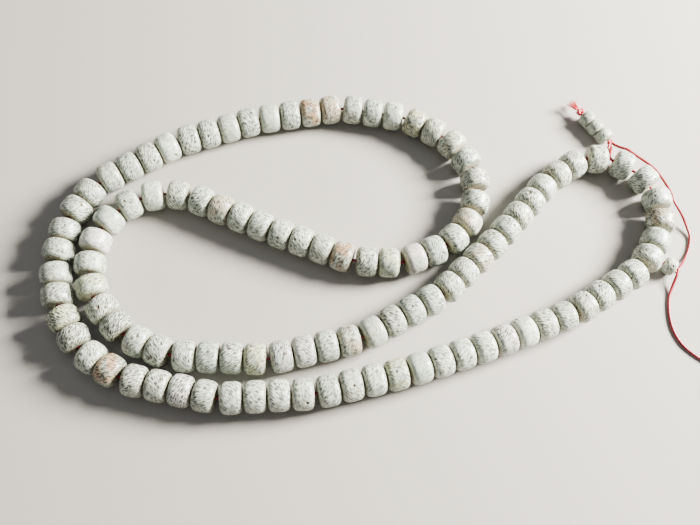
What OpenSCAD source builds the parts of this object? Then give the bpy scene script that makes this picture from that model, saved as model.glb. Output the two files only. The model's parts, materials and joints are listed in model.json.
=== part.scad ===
// Mala prayer beads: one closed strand of counting beads and a head bead, three guru beads
// at the head, and the loose tail of the elastic cord with a small counter bead on it.
// It lies flat and folded on z = 0, with the middle of the beads' outline at the origin.

/* [Counting beads] */
// Number of counting beads on the strand, besides the head bead
bead_count = 108; // [90:1:130]
// Widest diameter of a counting bead
bead_d = 10; // [8:0.1:12]
// Length of a counting bead along its hole
bead_l = 7; // [5.8:0.1:8.4]
// Radius of the rounded rims of a counting bead
bead_rim_r = 2; // [1.5:0.1:2.7]
// Diameter of the hole through a counting bead
bead_bore_d = 1.8; // [1.4:0.1:2.4]
// Least gap between the end faces of neighbouring beads
bead_gap = 0.12; // [0.1:0.02:0.5]

/* [Small beads] */
// Number of guru beads beyond the head bead
guru_count = 3; // [1:1:3]
// Diameter of a small bead
small_d = 6; // [5:0.1:7.2]
// Length of a small bead along its hole
small_l = 4.2; // [3.5:0.1:5]
// Radius of the rounded rims of a small bead
small_rim_r = 1.3; // [0.8:0.1:1.6]
// Gap between neighbouring small beads
small_gap = 0.12; // [0.1:0.02:0.3]
// Direction in which the guru beads lie, from +X
guru_angle = 126; // [110:1:140]
// Direction of the counter bead's hole, from +X
counter_angle = -34; // [-50:1:-20]

/* [Cord] */
// Diameter of the elastic cord
cord_d = 1; // [0.6:0.05:1.2]
// Radial play of the doubled cord in a small bead's hole
double_play = 0.1; // [0.08:0.02:0.3]
// Radius of the knot where the two ends of the cord leave the strand
head_knot_r = 1.2; // [1:0.1:1.4]
// Radius of the knot beyond the last guru bead
end_knot_r = 1.6; // [1.3:0.1:1.9]
// Length of the trimmed cord ends beyond the end knot
tuft_l = 3; // [2:0.5:5]
// Radius of the knot at the free end of the tail
tail_knot_r = 1.1; // [0.9:0.1:1.4]
// How far above the beads' centre line the tail lies where it leans on the first beads
tail_lean = 15; // [0:5:35]

/* [Stored tail] */
// Diameter of the stored coil at the middle of its turns
coil_d = 9; // [8:0.1:9.6]
// Turns side by side in one layer of the coil
coil_columns = 3; // [2:1:3]
// Layers of turns in the coil
coil_layers = 2; // [1:1:3]
// Thickness of the tie around the coil
tie_t = 0.25; // [0.2:0.05:0.4]
// Width of the tie around the coil
tie_w = 1.6; // [1:0.2:3]

/* [Hidden] */
$fn = 48;
tube_sides = 8;
eps = 0.01;

bead_r = bead_d/2;
face_r = bead_r - bead_rim_r;
small_r = small_d/2;
double_d = 2*cord_d;
small_bore_d = double_d + 2*double_play;

// Layout of the folded strand: control points of a smooth closed curve, clockwise from the
// head, at the size that suits beads of layout_bead_d.
layout_bead_d = 10;
layout_points = [
    [78, 38], [102, 22], [94, -5], [75, -19], [57, -26], [37, -34],
    [16, -41], [-5, -47], [-27, -51], [-49, -51], [-71, -47], [-90, -36],
    [-99, -14], [-97, 9], [-83, 27], [-61, 37], [-41, 44], [-19, 51],
    [5, 51], [28, 42], [41, 19], [25, -5], [0, -10], [-24, 0],
    [-45, 10], [-66, 20], [-87, 8], [-89, -18], [-72, -36], [-50, -40],
    [-28, -39], [-7, -34], [14, -25], [30, -11], [46, 6], [60, 24]
];
// Place along the layout where the head bead begins, in control points
layout_start = -0.27;
steps_per_point = 20;

// Free tail of the cord, from the head knot: x and y from the knot, z above the surface.
// It leaves the knot at the height of the small beads' holes and rises to the first beads.
floor_z = cord_d/2;
lead_points = [[0.5, 0, small_r], [1.2, -1.3, small_r + 0.7], [2.4, -3.1, small_r + 2], [4.3, -4.6, small_r + 3.1]];
// Length of the strand that it then leans on, at the layout's own size
lean_reach = 22;
// Gap between the tail and those beads
lean_play = 0.25;
// Share of its lean that it loses between the first of them and the last
lean_drop = 0.75;
// From there it comes down to the surface, and meets the counter bead at the height of its hole
tail_points = [
    [20.3, -28, 3.4], [22, -31.2, 1.7], [23, -34.8, 0.7], [22.1, -38.6, floor_z],
    [20.4, -42, 0.7], [18.2, -44.9, 1.7], [16.4, -46.9, small_r - 0.3],
    [15.4, -48.4, small_r], [14.6, -50.2, small_r - 0.3],
    [13.6, -52.6, 1.5], [12.5, -55.2, 0.7], [11.6, -58.4, floor_z],
    [11.1, -62, floor_z], [11.1, -65.8, floor_z], [11.9, -69.4, floor_z],
    [13.7, -72.8, floor_z], [16.5, -75.6, floor_z], [20, -78.2, floor_z],
    [23.8, -81, floor_z], [27.4, -83.8, tie_t + floor_z]
];
// The tail point that rests against the mouth of the counter bead
kink_index = 7;

// Lengths between the parts at the head of the strand
// How far the head knot stands out from the side of the neighbouring beads
knot_stand_off = 3.4;
head_reach = bead_r + knot_stand_off;
strand_play = 0.25;
// Height between the two strands, as a share of the cord's diameter
strand_rise = 0.9;
knot_play = 0.06;
counter_recess = 0.3;
// Share of a knot's radius from its centre to the face that it is drawn up against
knot_seat = 0.9;
// Radius of the trimmed cord ends, as a share of the doubled cord's diameter
tuft_flare = 0.7;

// The most that the strand may bend, in degrees, along the beads of one straight run
run_bend = 28;
// The most beads in one straight run
run_max = ceil(bead_count/27);
// Extra cord that a bend needs, over what the rims of two flat faces take up
bend_margin = 1.2;

// ---- Closed layout curve ------------------------------------------------------------------

function wrap(i, n) = (i % n + n) % n;

function curve_point(p, t) =
    let (
        n = len(p),
        i = floor(t),
        u = t - i,
        before = p[wrap(i - 1, n)],
        here = p[wrap(i, n)],
        next = p[wrap(i + 1, n)],
        beyond = p[wrap(i + 2, n)]
    )
    (pow(1 - u, 3)*before + (3*pow(u, 3) - 6*pow(u, 2) + 4)*here
        + (-3*pow(u, 3) + 3*pow(u, 2) + 3*u + 1)*next + pow(u, 3)*beyond)/6;

function direction(a, b) = atan2(b[1] - a[1], b[0] - a[0]);
function bend(a, b) = abs(wrap(b - a + 180, 360) - 180);
function unit2(a) = [cos(a), sin(a)];
function unit3(v) = v/norm(v);
function running(list) = [
    for (i = 0, s = 0; i <= len(list); s = s + (i < len(list) ? list[i] : 0), i = i + 1) s
];
function total(list) = running(list)[len(list)];

step_count = steps_per_point*len(layout_points);
samples = [
    for (j = [0:step_count])
        curve_point(layout_points, layout_start + j/steps_per_point)
];
step_len = [for (j = [0:step_count - 1]) norm(samples[j + 1] - samples[j])];
step_dir = [for (j = [0:step_count - 1]) direction(samples[j], samples[j + 1])];
step_bend = [for (j = [0:step_count - 1]) bend(step_dir[j], step_dir[(j + 1) % step_count])];

// ---- Beads along the curve ----------------------------------------------------------------

// A bend of one degree takes this much more cord, because the end faces meet at their rims
room_per_degree = bend_margin*face_r*PI/180;
head_room = cord_d + 2*strand_play;
needed_len = (bead_count + 1)*(bead_l + bead_gap) + total(step_bend)*room_per_degree + head_room;
layout_scale = max(bead_d/layout_bead_d, needed_len/total(step_len));

free_len = running([
    for (j = [0:step_count - 1]) step_len[j]*layout_scale - step_bend[j]*room_per_degree
]);
free_total = free_len[step_count];
free_table = [for (j = [0:step_count]) [free_len[j], j/steps_per_point]];
slot = (free_total - head_room)/(bead_count + 1);

function free_start(i) = i == 0 ? 0 : slot*i + head_room;
function strand_point(w) =
    layout_scale*curve_point(layout_points, layout_start + lookup(wrap(w, free_total), free_table));
function strand_dir(w) = direction(strand_point(w - slot/4), strand_point(w + slot/4));

bead_bend = [
    for (i = [1:bead_count])
        bend(strand_dir(free_start(i)), strand_dir(free_start(i) + slot))
];

// Neighbouring beads share a straight run of cord where the strand bends little
function run_starts(i = 1, first = 0, bent = 0, starts = []) =
    i > bead_count ? starts
    : let (b = bead_bend[i - 1])
        i == 1 || bent + b > run_bend || i - first >= run_max
            ? run_starts(i + 1, i, b, concat(starts, [i]))
            : run_starts(i + 1, first, bent + b, starts);
run_first = run_starts();
run_count = len(run_first);

// The cord's corners, and the number of beads on each straight side between them.
// Side 0 carries the head bead, and side 1 starts at the corner where the cord's ends leave.
side_count = run_count + 1;
corners = [
    for (k = [0:side_count - 1])
        strand_point(
            k == 0 ? 0 : k == 1 ? slot + head_room/2 : free_start(run_first[k - 1])
        )
];
side_beads = [
    for (s = [0:side_count - 1])
        s == 0 ? 1
        : s == run_count ? bead_count + 1 - run_first[s - 1]
        : run_first[s] - run_first[s - 1]
];

function corner(k) = corners[wrap(k, side_count)];
function side_dir(s) = direction(corner(s), corner(s + 1));
function end_room(k) =
    let (half = bend(side_dir(k - 1), side_dir(k))/2)
    max(
        face_r*tan(half) + bead_rim_r*(1/cos(half) - 1),
        wrap(k, side_count) == 1 ? head_room/2 : 0
    );
function side_slack(s) =
    (norm(corner(s + 1) - corner(s)) - side_beads[s]*bead_l - end_room(s) - end_room(s + 1))
    /side_beads[s];
function bead_centre(s, m) =
    corner(s) + unit2(side_dir(s))*(end_room(s) + (m + 0.5)*(bead_l + side_slack(s)));

// ---- Places at the head and on the tail ---------------------------------------------------

head_out = side_dir(0) + (wrap(side_dir(1) - side_dir(0) + 180, 360) - 180)/2 + 90;
head_knot_xy = corner(1) + head_reach*unit2(head_out);
head_knot_at = [head_knot_xy[0], head_knot_xy[1], small_r];

guru_dir = [cos(guru_angle), sin(guru_angle), 0];
guru_start = head_knot_r + knot_play;
function guru_centre(i) =
    head_knot_at + guru_dir*(guru_start + small_l/2 + i*(small_l + small_gap));
guru_cord_l = guru_count*(small_l + small_gap);
end_knot_at = head_knot_at + guru_dir*(guru_start + guru_cord_l + end_knot_r*knot_seat);
tuft_end = end_knot_at + guru_dir*(end_knot_r + tuft_l);
tuft_r = tuft_flare*double_d;

function from_knot(p) =
    [head_knot_at[0] + layout_scale*p[0], head_knot_at[1] + layout_scale*p[1], p[2]];
function tail_at(i) = from_knot(tail_points[i]);
tail_last = len(tail_points) - 1;

// Two places against the outside of each bead that the tail leans on, one at each rim. The
// lead takes the place of the first of them.
bead_order = [for (s = [1:run_count]) for (m = [0:side_beads[s] - 1]) [s, m]];
lean_beads = round(lean_reach*layout_scale/slot);
lean_last = 2*lean_beads - 1;
function lean_at(k) =
    let (
        bead = bead_order[floor(k/2)],
        d = unit2(side_dir(bead[0])),
        c = bead_centre(bead[0], bead[1]) + (k % 2 == 0 ? -1 : 1)*(bead_l/2 - bead_rim_r)*d,
        out = bead_r + cord_d/2 + lean_play,
        a = tail_lean*(1 - lean_drop*k/lean_last)
    )
    [c[0] - d[1]*out*cos(a), c[1] + d[0]*out*cos(a), bead_r + out*sin(a)];
tail_route = concat(
    [for (p = lead_points) [head_knot_at[0] + p[0], head_knot_at[1] + p[1], p[2]]],
    [for (k = [1:lean_last]) lean_at(k)],
    [for (p = tail_points) from_knot(p)]
);
counter_dir = [cos(counter_angle), sin(counter_angle), 0];
counter_mouth = tail_at(kink_index);
counter_at = [
    counter_mouth[0] - counter_dir[0]*(small_l/2 + knot_play + cord_d),
    counter_mouth[1] - counter_dir[1]*(small_l/2 + knot_play + cord_d),
    small_r
];

coil_r = coil_d/2;
coil_w = coil_columns*cord_d;
coil_h = coil_layers*cord_d;
tail_end_dir = direction(tail_at(tail_last - 1), tail_at(tail_last));
coil_to_end = tail_end_dir + 90;
coil_at = [
    tail_at(tail_last)[0] - coil_r*cos(coil_to_end),
    tail_at(tail_last)[1] - coil_r*sin(coil_to_end),
    tie_t
];
tie_angle = -40;
tail_knot_angle = -100;

// ---- Origin: middle of the outline of the beads and the guru cord -------------------------

function bead_reach(a) =
    (bead_l/2 - bead_rim_r)*abs(a[0]) + face_r*abs(a[1]) + bead_rim_r;
bead_boxes = [
    for (s = [0:side_count - 1]) for (m = [0:side_beads[s] - 1])
        let (
            c = bead_centre(s, m),
            d = unit2(side_dir(s)),
            h = [bead_reach(d), bead_reach([d[1], d[0]])]
        )
        [c - h, c + h]
];
tuft_reach = tuft_r*[abs(guru_dir[1]), abs(guru_dir[0])];
tuft_box = [
    [tuft_end[0], tuft_end[1]] - tuft_reach,
    [tuft_end[0], tuft_end[1]] + tuft_reach
];
boxes = concat(bead_boxes, [tuft_box]);
outline_low = [for (k = [0, 1]) min([for (b = boxes) b[0][k]])];
outline_high = [for (k = [0, 1]) max([for (b = boxes) b[1][k]])];
middle = (outline_low + outline_high)/2;

module from_middle() {
    translate([-middle[0], -middle[1], 0]) children();
}

// ---- Shapes -------------------------------------------------------------------------------

module along(at, angle) {
    translate(at) rotate([0, 90, angle]) children();
}

module barrel(d, l, rim, bore) {
    rotate_extrude() difference() {
        union() {
            translate([0, -l/2]) square([d/2 - rim, l]);
            translate([0, rim - l/2]) square([d/2, l - 2*rim]);
            for (y = [rim - l/2, l/2 - rim]) translate([d/2 - rim, y]) circle(r = rim);
        }
        translate([-d, -l]) square([d + bore/2, 2*l]);
    }
}

module rod(a, b, d) {
    v = b - a;
    translate(a)
        rotate([0, acos(v[2]/norm(v)), atan2(v[1], v[0])])
            cylinder(d = d, h = norm(v));
}

// A ring of points around p, square to direction d
function ring(p, d) =
    let (side = unit3(cross(d, [0, 0, 1])), up = cross(side, d))
    [
        for (j = [0:tube_sides - 1])
            let (a = 360*j/tube_sides)
            p + cord_d/2*(cos(a)*side + sin(a)*up)
    ];

module tube(rings, closed) {
    n = tube_sides;
    m = len(rings);
    polyhedron(
        points = [for (r = rings) for (p = r) p],
        faces = concat(
            [
                for (i = [0:m - (closed ? 1 : 2)]) for (j = [0:n - 1]) for (half = [0, 1])
                    let (
                        a = i*n + j,
                        b = i*n + (j + 1) % n,
                        c = ((i + 1) % m)*n + (j + 1) % n,
                        d = ((i + 1) % m)*n + j
                    )
                    half == 0 ? [a, b, c] : [a, c, d]
            ],
            closed ? [] : [[for (j = [n - 1:-1:0]) j], [for (j = [0:n - 1]) (m - 1)*n + j]]
        ),
        convexity = 10
    );
}

// ---- Strand -------------------------------------------------------------------------------

module loop_cord() {
    rings = [
        for (k = [0:side_count - 1])
            let (
                p = corner(k),
                d = unit2(side_dir(k - 1)) + unit2(side_dir(k))
            )
            ring([p[0], p[1], bead_r], unit3([d[0], d[1], 0]))
    ];
    color("crimson") from_middle() tube(rings, true);
}

module counting_beads(s) {
    color(s % 3 == 0 ? "#c3bfae" : s % 3 == 1 ? "#cfccc0" : "#b9bdaf")
        from_middle()
            for (m = [0:side_beads[s] - 1])
                let (c = bead_centre(s, m))
                along([c[0], c[1], bead_r], side_dir(s))
                    barrel(bead_d, bead_l, bead_rim_r, bead_bore_d);
}

module head_bead() {
    counting_beads(0);
}

// ---- Head ---------------------------------------------------------------------------------

module head_knot() {
    c = corner(1);
    color("crimson") from_middle() {
        translate(head_knot_at) sphere(r = head_knot_r);
        for (dz = [-strand_rise/2, strand_rise/2]*cord_d)
            rod([c[0], c[1], bead_r + dz], head_knot_at + [0, 0, dz], cord_d);
    }
}

module guru_cord() {
    color("crimson") from_middle()
        along(head_knot_at + guru_dir*guru_start, guru_angle)
            cylinder(d = double_d, h = guru_cord_l);
}

module small_bead(at, angle) {
    color("#aeb0a2") from_middle()
        along(at, angle) barrel(small_d, small_l, small_rim_r, small_bore_d);
}

module end_knot() {
    color("red") from_middle() {
        translate(end_knot_at) sphere(r = end_knot_r);
        along(end_knot_at, guru_angle)
            cylinder(r1 = double_d/2, r2 = tuft_r, h = end_knot_r + tuft_l);
    }
}

// ---- Tail ---------------------------------------------------------------------------------

module tail_cord() {
    last = len(tail_route) - 1;
    rings = [
        for (i = [0:last])
            ring(tail_route[i], unit3(tail_route[min(i + 1, last)] - tail_route[max(i - 1, 0)]))
    ];
    color("crimson") from_middle() tube(rings, false);
}

module counter_cord() {
    color("crimson") from_middle()
        along(counter_at - counter_dir*(small_l/2 - counter_recess), counter_angle)
            cylinder(d = double_d, h = small_l - counter_recess + knot_play + cord_d);
}

module tail_coil() {
    color("crimson") from_middle() translate(coil_at)
        rotate_extrude() translate([coil_r - coil_w/2, 0]) square([coil_w, coil_h]);
}

module coil_tie() {
    color("gold") from_middle() translate(coil_at) rotate([0, 0, tie_angle])
        translate([coil_r, 0, coil_h/2]) difference() {
            cube([coil_w + 2*tie_t + 4*eps, tie_w, coil_h + 2*tie_t], center = true);
            intersection() {
                cube([coil_w + 4*eps + tie_w, tie_w + 1, coil_h + 2*eps], center = true);
                translate([-coil_r, 0, 0]) difference() {
                    cylinder(r = coil_r + coil_w/2 + eps, h = coil_h + 1, center = true);
                    cylinder(r = coil_r - coil_w/2 - eps, h = coil_h + 2, center = true);
                }
            }
        }
}

module tail_knot() {
    reach = coil_r + coil_w/2 + tail_knot_r*knot_seat;
    color("crimson") from_middle()
        translate([
            coil_at[0] + reach*cos(tail_knot_angle),
            coil_at[1] + reach*sin(tail_knot_angle),
            tail_knot_r
        ])
            sphere(r = tail_knot_r);
}

// ---- Nodes --------------------------------------------------------------------------------

function numbered(word, i) = str(word, i < 10 ? "_0" : "_", i);

loop_cord();
head_bead();
head_knot();
guru_cord();
end_knot();
for (i = [1:guru_count])
    small_bead(guru_centre(i - 1), guru_angle);
tail_cord();
counter_cord();
small_bead(counter_at, counter_angle);  // counter_bead
tail_coil();
coil_tie();
tail_knot();
for (s = [1:run_count])
    counting_beads(s);
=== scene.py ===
import json
import math
import random

import bpy
import numpy as np
from mathutils import Matrix, Vector, noise


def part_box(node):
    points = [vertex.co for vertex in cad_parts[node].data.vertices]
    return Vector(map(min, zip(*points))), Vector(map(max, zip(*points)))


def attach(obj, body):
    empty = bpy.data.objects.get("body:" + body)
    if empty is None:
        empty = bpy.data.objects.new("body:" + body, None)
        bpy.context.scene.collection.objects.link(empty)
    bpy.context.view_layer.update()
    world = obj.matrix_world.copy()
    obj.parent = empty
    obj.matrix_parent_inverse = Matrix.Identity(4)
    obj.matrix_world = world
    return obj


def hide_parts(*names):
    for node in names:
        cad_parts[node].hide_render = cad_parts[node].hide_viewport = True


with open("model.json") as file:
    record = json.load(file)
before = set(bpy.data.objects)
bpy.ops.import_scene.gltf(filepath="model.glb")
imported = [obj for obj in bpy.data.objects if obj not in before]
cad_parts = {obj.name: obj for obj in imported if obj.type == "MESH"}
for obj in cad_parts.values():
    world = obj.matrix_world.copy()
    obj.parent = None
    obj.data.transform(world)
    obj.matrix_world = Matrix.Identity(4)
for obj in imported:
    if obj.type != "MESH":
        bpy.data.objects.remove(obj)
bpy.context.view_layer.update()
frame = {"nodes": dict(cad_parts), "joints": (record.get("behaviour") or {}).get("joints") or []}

bl_info = {
    "name": "Mala Prayer Beads",
    "version": (1, 0, 0),
    "blender": (4, 5, 0),
    "location": "3D Viewport > Sidebar > Mala",
    "description": "Builds a strand of seed prayer beads around its packed frame",
    "category": "Add Mesh",
}

MM = 0.001
JOINTS = {joint["child"]: joint for joint in frame["joints"]}
RUNS = sorted(name for name in frame["nodes"] if name.startswith("beads_"))
GURU_BEADS = sorted(name for name in frame["nodes"] if name.startswith("guru_bead_"))
STRAND = "strand"
PENDANT = "guru_pendant"


# ---- Places and sizes from the frame ------------------------------------------------------


def joint_line(body):
    """The point and the unit direction of the joint that carries a body."""
    joint = JOINTS[body]
    return np.array(joint["pos_m"], float), np.array(Vector(joint["axis"]).normalized())


def node_points(name):
    """The corners of a node of the frame."""
    return np.array([v.co for v in frame["nodes"][name].data.vertices], float)


def barrel_size(name):
    """Length, diameter and bore of a node that is one bead, measured about its spin axis."""
    at, axis = joint_line(name)
    points = node_points(name) - at
    along = points @ axis
    out = np.linalg.norm(points - np.outer(along, axis), axis=1)
    return float(np.ptp(along)), 2 * float(out.max()), 2 * float(out.min())


BEAD_L, BEAD_D, BEAD_BORE = barrel_size("head_bead")
SMALL_L, SMALL_D, SMALL_BORE = barrel_size("guru_bead_01")
HEAD_KNOT = np.array(JOINTS[PENDANT]["pos_m"], float)
GURU_DIR = joint_line("guru_bead_01")[1]


def run_beads(name):
    """Middle and hole direction of each bead in a node of the strand."""
    first, axis = joint_line(name)
    along = (node_points(name) - first) @ axis
    count = round((np.ptp(along) + BEAD_L / 2) / (1.07 * BEAD_L))
    pitch = (np.ptp(along) - BEAD_L) / max(count - 1, 1)
    return [(first + axis * pitch * i, axis) for i in range(count)]


def strand_beads():
    """Every full-size bead in its order on the cord: body, middle and hole direction."""
    return [(name, at, axis) for name in ["head_bead", *RUNS] for at, axis in run_beads(name)]


# ---- Settings -----------------------------------------------------------------------------


def hex_linear(text):
    """An sRGB hex colour as linear RGBA."""
    parts = [int(text[i : i + 2], 16) / 255 for i in (1, 3, 5)]
    return (*[c / 12.92 if c <= 0.04045 else ((c + 0.055) / 1.055) ** 2.4 for c in parts], 1.0)


def length(name, description, default, low, high):
    """A length setting in metres."""
    return bpy.props.FloatProperty(
        name=name, description=description, default=default, min=low, max=high,
        unit="LENGTH", precision=5,
    )


def colour(name, description, default):
    """A colour setting, given as sRGB hex."""
    return bpy.props.FloatVectorProperty(
        name=name, description=description, default=hex_linear(default), size=4,
        min=0.0, max=1.0, subtype="COLOR",
    )


class MalaSeedSettings(bpy.types.PropertyGroup):
    bead_shrink: bpy.props.FloatProperty(
        name="Size spread", description="How much smaller the smallest turned seed is, as a share",
        default=0.016, min=0.0, max=0.06,
    )
    lump: length(
        "Unevenness", "Depth of the flats that hand polishing leaves", 0.09 * MM, 0, 0.3 * MM)
    moon_d: length("Moon diameter", "Width of the seed's one natural pit", 1.15 * MM, 0, 2 * MM)
    moon_depth: length("Moon depth", "Depth of that pit", 0.28 * MM, 0, 0.6 * MM)
    chamfer: length("Hole chamfer", "Width of the drilled hole's chamfer", 0.22 * MM, 0, 0.4 * MM)
    fleck_l: length("Fleck length", "Length of a dark fleck's cell", 1.7 * MM, 0.5 * MM, 4 * MM)
    fleck_w: length("Fleck width", "Width of a dark fleck's cell", 0.42 * MM, 0.2 * MM, 2 * MM)
    pale: colour("Pale seed", "Colour of the polished seed", "#DCE2CF")
    grey: colour("Grey seed", "Colour of the seed's cooler areas", "#B3BEB0")
    fleck: colour("Fleck", "Colour of the dark flecks", "#34312A")
    tan: colour("Tan", "Colour of the patches where the husk's stain is left", "#B08A62")
    green: colour("Green", "Colour of seeds picked before they ripened", "#BFC391")
    pink: colour("Pink", "Colour of the rosy seeds", "#DCCFCF")
    rim: colour("Rim", "Colour of the cut ends", "#A39A7A")
    # Rim: the cut ends' own tone, also used as painted shade where the beads meet and inside the
    # hole
    moon: colour("Moon", "Colour inside the natural pit", "#5B4A36")


class MalaCordSettings(bpy.types.PropertyGroup):
    diameter: length("Cord diameter", "Diameter of the elastic cord", 1.0 * MM, 0.4 * MM, 1.5 * MM)
    filaments: bpy.props.IntProperty(
        name="Filaments", description="Filament ridges around the cord", default=9, min=3, max=16)
    lay: length("Lay", "Length in which the filaments go once around", 14 * MM, 4 * MM, 60 * MM)
    fibres: bpy.props.IntProperty(
        name="Fibres", description="Loose fibres in the cut ends", default=150, min=10, max=400)
    crimson: colour("Crimson", "Colour of the cord", "#A60520")
    # Deep crimson is painted shade in the grooves between the filaments
    deep: colour("Deep crimson", "Colour between the filaments", "#760418")
    scarlet: colour("Scarlet", "Colour of the cut ends and the knot before them", "#CA0814")
    linen: colour("Linen", "Colour of the tie's thread", "#CDBB90")
    # Deep linen is painted shade between the thread's plies
    linen_ply_shade: colour("Deep linen", "Colour between the thread's plies", "#6E5C3C")


class MalaStageSettings(bpy.types.PropertyGroup):
    floor: colour("Floor", "Colour of the plain floor", "#9B968F")
    key_power: bpy.props.FloatProperty(
        name="Key light", description="Power of the soft light on the right", default=60.0,
        min=0, subtype="POWER",
    )
    fill_power: bpy.props.FloatProperty(
        name="Fill light", description="Power of the wide light above", default=0.9,
        min=0, subtype="POWER",
    )
    sky: bpy.props.FloatProperty(
        name="Sky", description="Strength of the even light all round", default=0.28, min=0)


SETTINGS = {
    "mala_seed": MalaSeedSettings,
    "mala_cord": MalaCordSettings,
    "mala_stage": MalaStageSettings,
}


# ---- Materials ----------------------------------------------------------------------------


def add_node(tree, kind, values=None, links=None, **settings):
    """Add a shader node with its own settings, the values of its sockets and their links."""
    made = tree.nodes.new("ShaderNode" + kind)
    for name, value in settings.items():
        setattr(made, name, value)
    for name, value in (values or {}).items():
        made.inputs[name].default_value = value
    for name, source in (links or {}).items():
        tree.links.new(source, made.inputs[name])
    return made


def new_material(name, values):
    """A material with one Principled shader: its tree and the shader."""
    material = bpy.data.materials.new(name)
    material.use_nodes = True
    tree = material.node_tree
    tree.nodes.clear()
    shader = add_node(tree, "BsdfPrincipled", values)
    add_node(tree, "OutputMaterial", links={"Surface": shader.outputs["BSDF"]})
    return material, tree, shader


def waxed_rattan_seed():
    """Rattan palm seed, turned on a lathe, polished and waxed: pale horn with dark vessel flecks
    that lie aslant, soft cool and tan areas, and a satin skin that is duller in the flecks."""
    made = bpy.data.materials.get("waxed_rattan_seed")
    if made:
        return made
    seed = bpy.context.scene.mala_seed
    made, tree, shader = new_material(
        "waxed_rattan_seed", {"IOR": 1.5, "Coat Weight": 0.3, "Coat Roughness": 0.28})
    grain = add_node(tree, "Attribute", attribute_name="grain_mm")
    tint = add_node(tree, "Attribute", attribute_name="tint")
    marks = add_node(tree, "Attribute", attribute_name="marks")
    part = add_node(tree, "SeparateXYZ", links={"Vector": marks.outputs["Vector"]})

    # Soft areas about 4 mm wide, as the seed's layers come to the surface
    area_mm = 4.0
    area = add_node(
        tree, "TexNoise", {"Scale": 1 / area_mm, "Detail": 3.0, "Roughness": 0.55},
        {"Vector": grain.outputs["Vector"]})
    area_share = add_node(
        tree, "MapRange", {"From Min": 0.38, "From Max": 0.66},
        {"Value": area.outputs["Fac"]}, interpolation_type="SMOOTHSTEP")
    base = add_node(
        tree, "Mix", {7: seed.grey},
        {0: area_share.outputs["Result"], 6: tint.outputs["Color"]}, data_type="RGBA")

    # Flecks: vessels cut at a slant, with edges that wander by a few tenths of a millimetre,
    # twice as far along a fleck as across it
    wander_mm = 0.55
    reach_mm = (0.7, 0.35, 0.0)
    wander = add_node(
        tree, "TexNoise", {"Scale": 1 / wander_mm, "Detail": 2.0},
        {"Vector": grain.outputs["Vector"]})
    centred = add_node(
        tree, "VectorMath", {1: (0.5, 0.5, 0.5)}, {0: wander.outputs["Color"]},
        operation="SUBTRACT")
    moved = add_node(
        tree, "VectorMath", {1: reach_mm},
        {0: centred.outputs["Vector"], 2: grain.outputs["Vector"]}, operation="MULTIPLY_ADD")
    # Long flecks and fine ones: share of the cell's size, where the dark ends and the pale begins
    kinds = ((1.0, 0.31, 0.50), (0.6, 0.26, 0.46))
    masks = []
    for size, low, high in kinds:
        cells = add_node(
            tree, "VectorMath",
            {1: (MM / (seed.fleck_l * size), MM / (seed.fleck_w * size), 1.0)},
            {0: moved.outputs["Vector"]}, operation="MULTIPLY")
        flecks = add_node(
            tree, "TexVoronoi", {"Scale": 1.0, "Randomness": 1.0},
            {"Vector": cells.outputs["Vector"]}, feature="F1", voronoi_dimensions="2D")
        mask = add_node(
            tree, "MapRange",
            {"From Min": low, "From Max": high, "To Min": 1.0, "To Max": 0.0},
            {"Value": flecks.outputs["Distance"]}, interpolation_type="SMOOTHSTEP")
        # Each fleck has a depth of its own, so some are black and some are faint
        own = add_node(tree, "SeparateColor", links={"Color": flecks.outputs["Color"]})
        depth = add_node(
            tree, "MapRange", {"From Min": 0.0, "From Max": 0.6, "To Min": 0.35, "To Max": 1.0},
            {"Value": own.outputs["Red"]})
        masked = add_node(
            tree, "Math", links={0: mask.outputs["Result"], 1: depth.outputs["Result"]},
            operation="MULTIPLY")
        masks.append(masked.outputs["Value"])
    # Flecks stand darker in some areas than in others, about 3 mm wide
    crowd_mm = 2.6
    fine_share = 0.7
    crowd = add_node(
        tree, "TexNoise", {"Scale": 1 / crowd_mm, "Detail": 2.0, "Distortion": 0.4},
        {"Vector": moved.outputs["Vector"]})
    crowd_share = add_node(
        tree, "MapRange", {"From Min": 0.34, "From Max": 0.56, "To Min": 0.7, "To Max": 1.0},
        {"Value": crowd.outputs["Fac"]})
    small = add_node(
        tree, "Math", {1: fine_share}, {0: masks[1]}, operation="MULTIPLY")
    both = add_node(
        tree, "Math", links={0: masks[0], 1: small.outputs["Value"]}, operation="MAXIMUM")
    crowded = add_node(
        tree, "Math", links={0: both.outputs["Value"], 1: crowd_share.outputs["Result"]},
        operation="MULTIPLY")
    strength = add_node(
        tree, "Math", links={0: crowded.outputs["Value"], 1: part.outputs["X"]},
        operation="MULTIPLY", use_clamp=True)

    # Stain left from the husk, then the cut ends with their own tone and painted shade, the flecks
    # and the pit
    stained = add_node(
        tree, "Mix", {7: seed.tan}, {0: tint.outputs["Alpha"], 6: base.outputs[2]},
        data_type="RGBA")
    toned_and_shaded_ends = add_node(
        tree, "Mix", {7: seed.rim}, {0: part.outputs["Y"], 6: stained.outputs[2]},
        data_type="RGBA")
    flecked = add_node(
        tree, "Mix", {7: seed.fleck}, {0: strength.outputs["Value"], 6: toned_and_shaded_ends.outputs[2]},
        data_type="RGBA")
    pitted = add_node(
        tree, "Mix", {7: seed.moon}, {0: part.outputs["Z"], 6: flecked.outputs[2]},
        data_type="RGBA")
    tree.links.new(pitted.outputs[2], shader.inputs["Base Color"])

    # Wax fills the flecks poorly, so they are duller
    dull = add_node(
        tree, "MapRange", {"From Min": 0.0, "From Max": 1.0, "To Min": 0.36, "To Max": 0.62},
        {"Value": strength.outputs["Value"]})
    tree.links.new(dull.outputs["Result"], shader.inputs["Roughness"])

    # Polishing stands the horn a few hundredths of a millimetre above the flecks
    inverse = add_node(
        tree, "Math", {0: 1.0}, {1: strength.outputs["Value"]}, operation="SUBTRACT")
    bump = add_node(
        tree, "Bump", {"Strength": 0.55, "Distance": 0.05 * MM},
        {"Height": inverse.outputs["Value"]})
    tree.links.new(bump.outputs["Normal"], shader.inputs["Normal"])
    return made


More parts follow.
